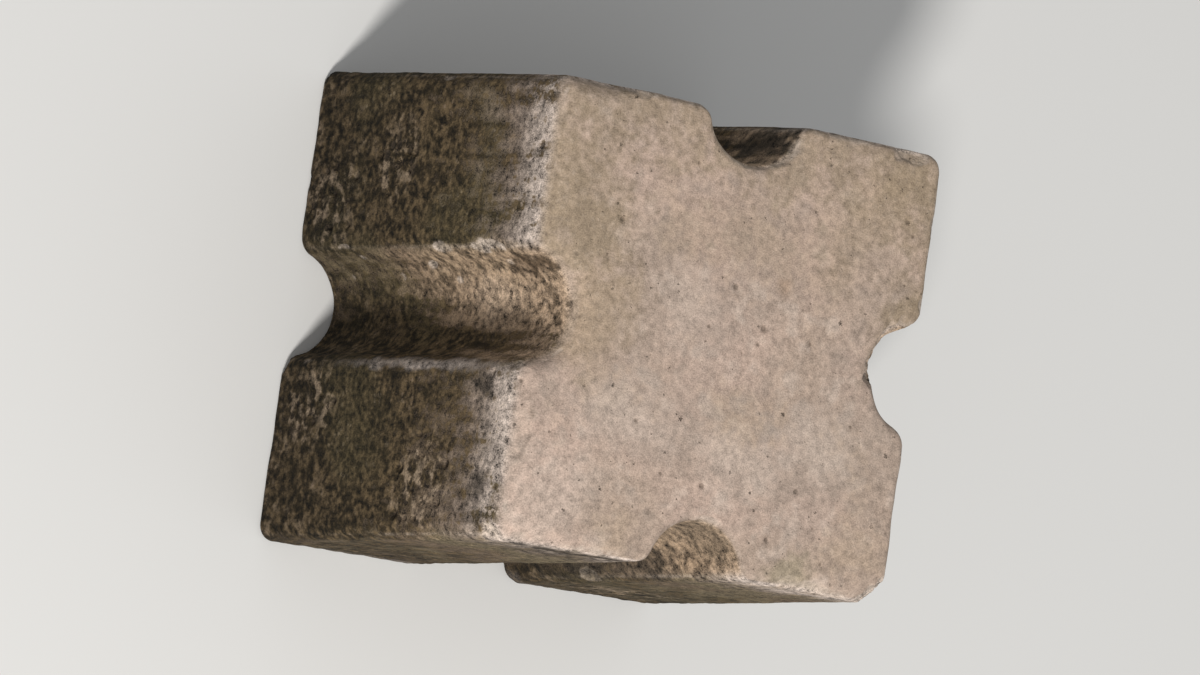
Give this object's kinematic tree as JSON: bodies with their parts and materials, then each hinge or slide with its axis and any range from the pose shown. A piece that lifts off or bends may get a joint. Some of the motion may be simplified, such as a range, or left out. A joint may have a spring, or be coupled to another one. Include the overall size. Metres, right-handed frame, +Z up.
{
  "type": "grooved concrete armour cube",
  "caption": "Tapered mass-concrete cube with a round groove up the middle of each side, laid in rows to armour a breakwater slope.",
  "frame": {"origin": "centre of the base, on the ground it stands on", "axes": "+Z up, along the axis the cube was cast on, from the wide base to the narrower top; X and Y face the four grooved sides"},
  "size_m": [2.17, 2.17, 2],
  "materials": {
    "concrete": "matte"
  },
  "bodies": {
    "root": {"grooved_cube": "concrete"}
  },
  "joints": []
}
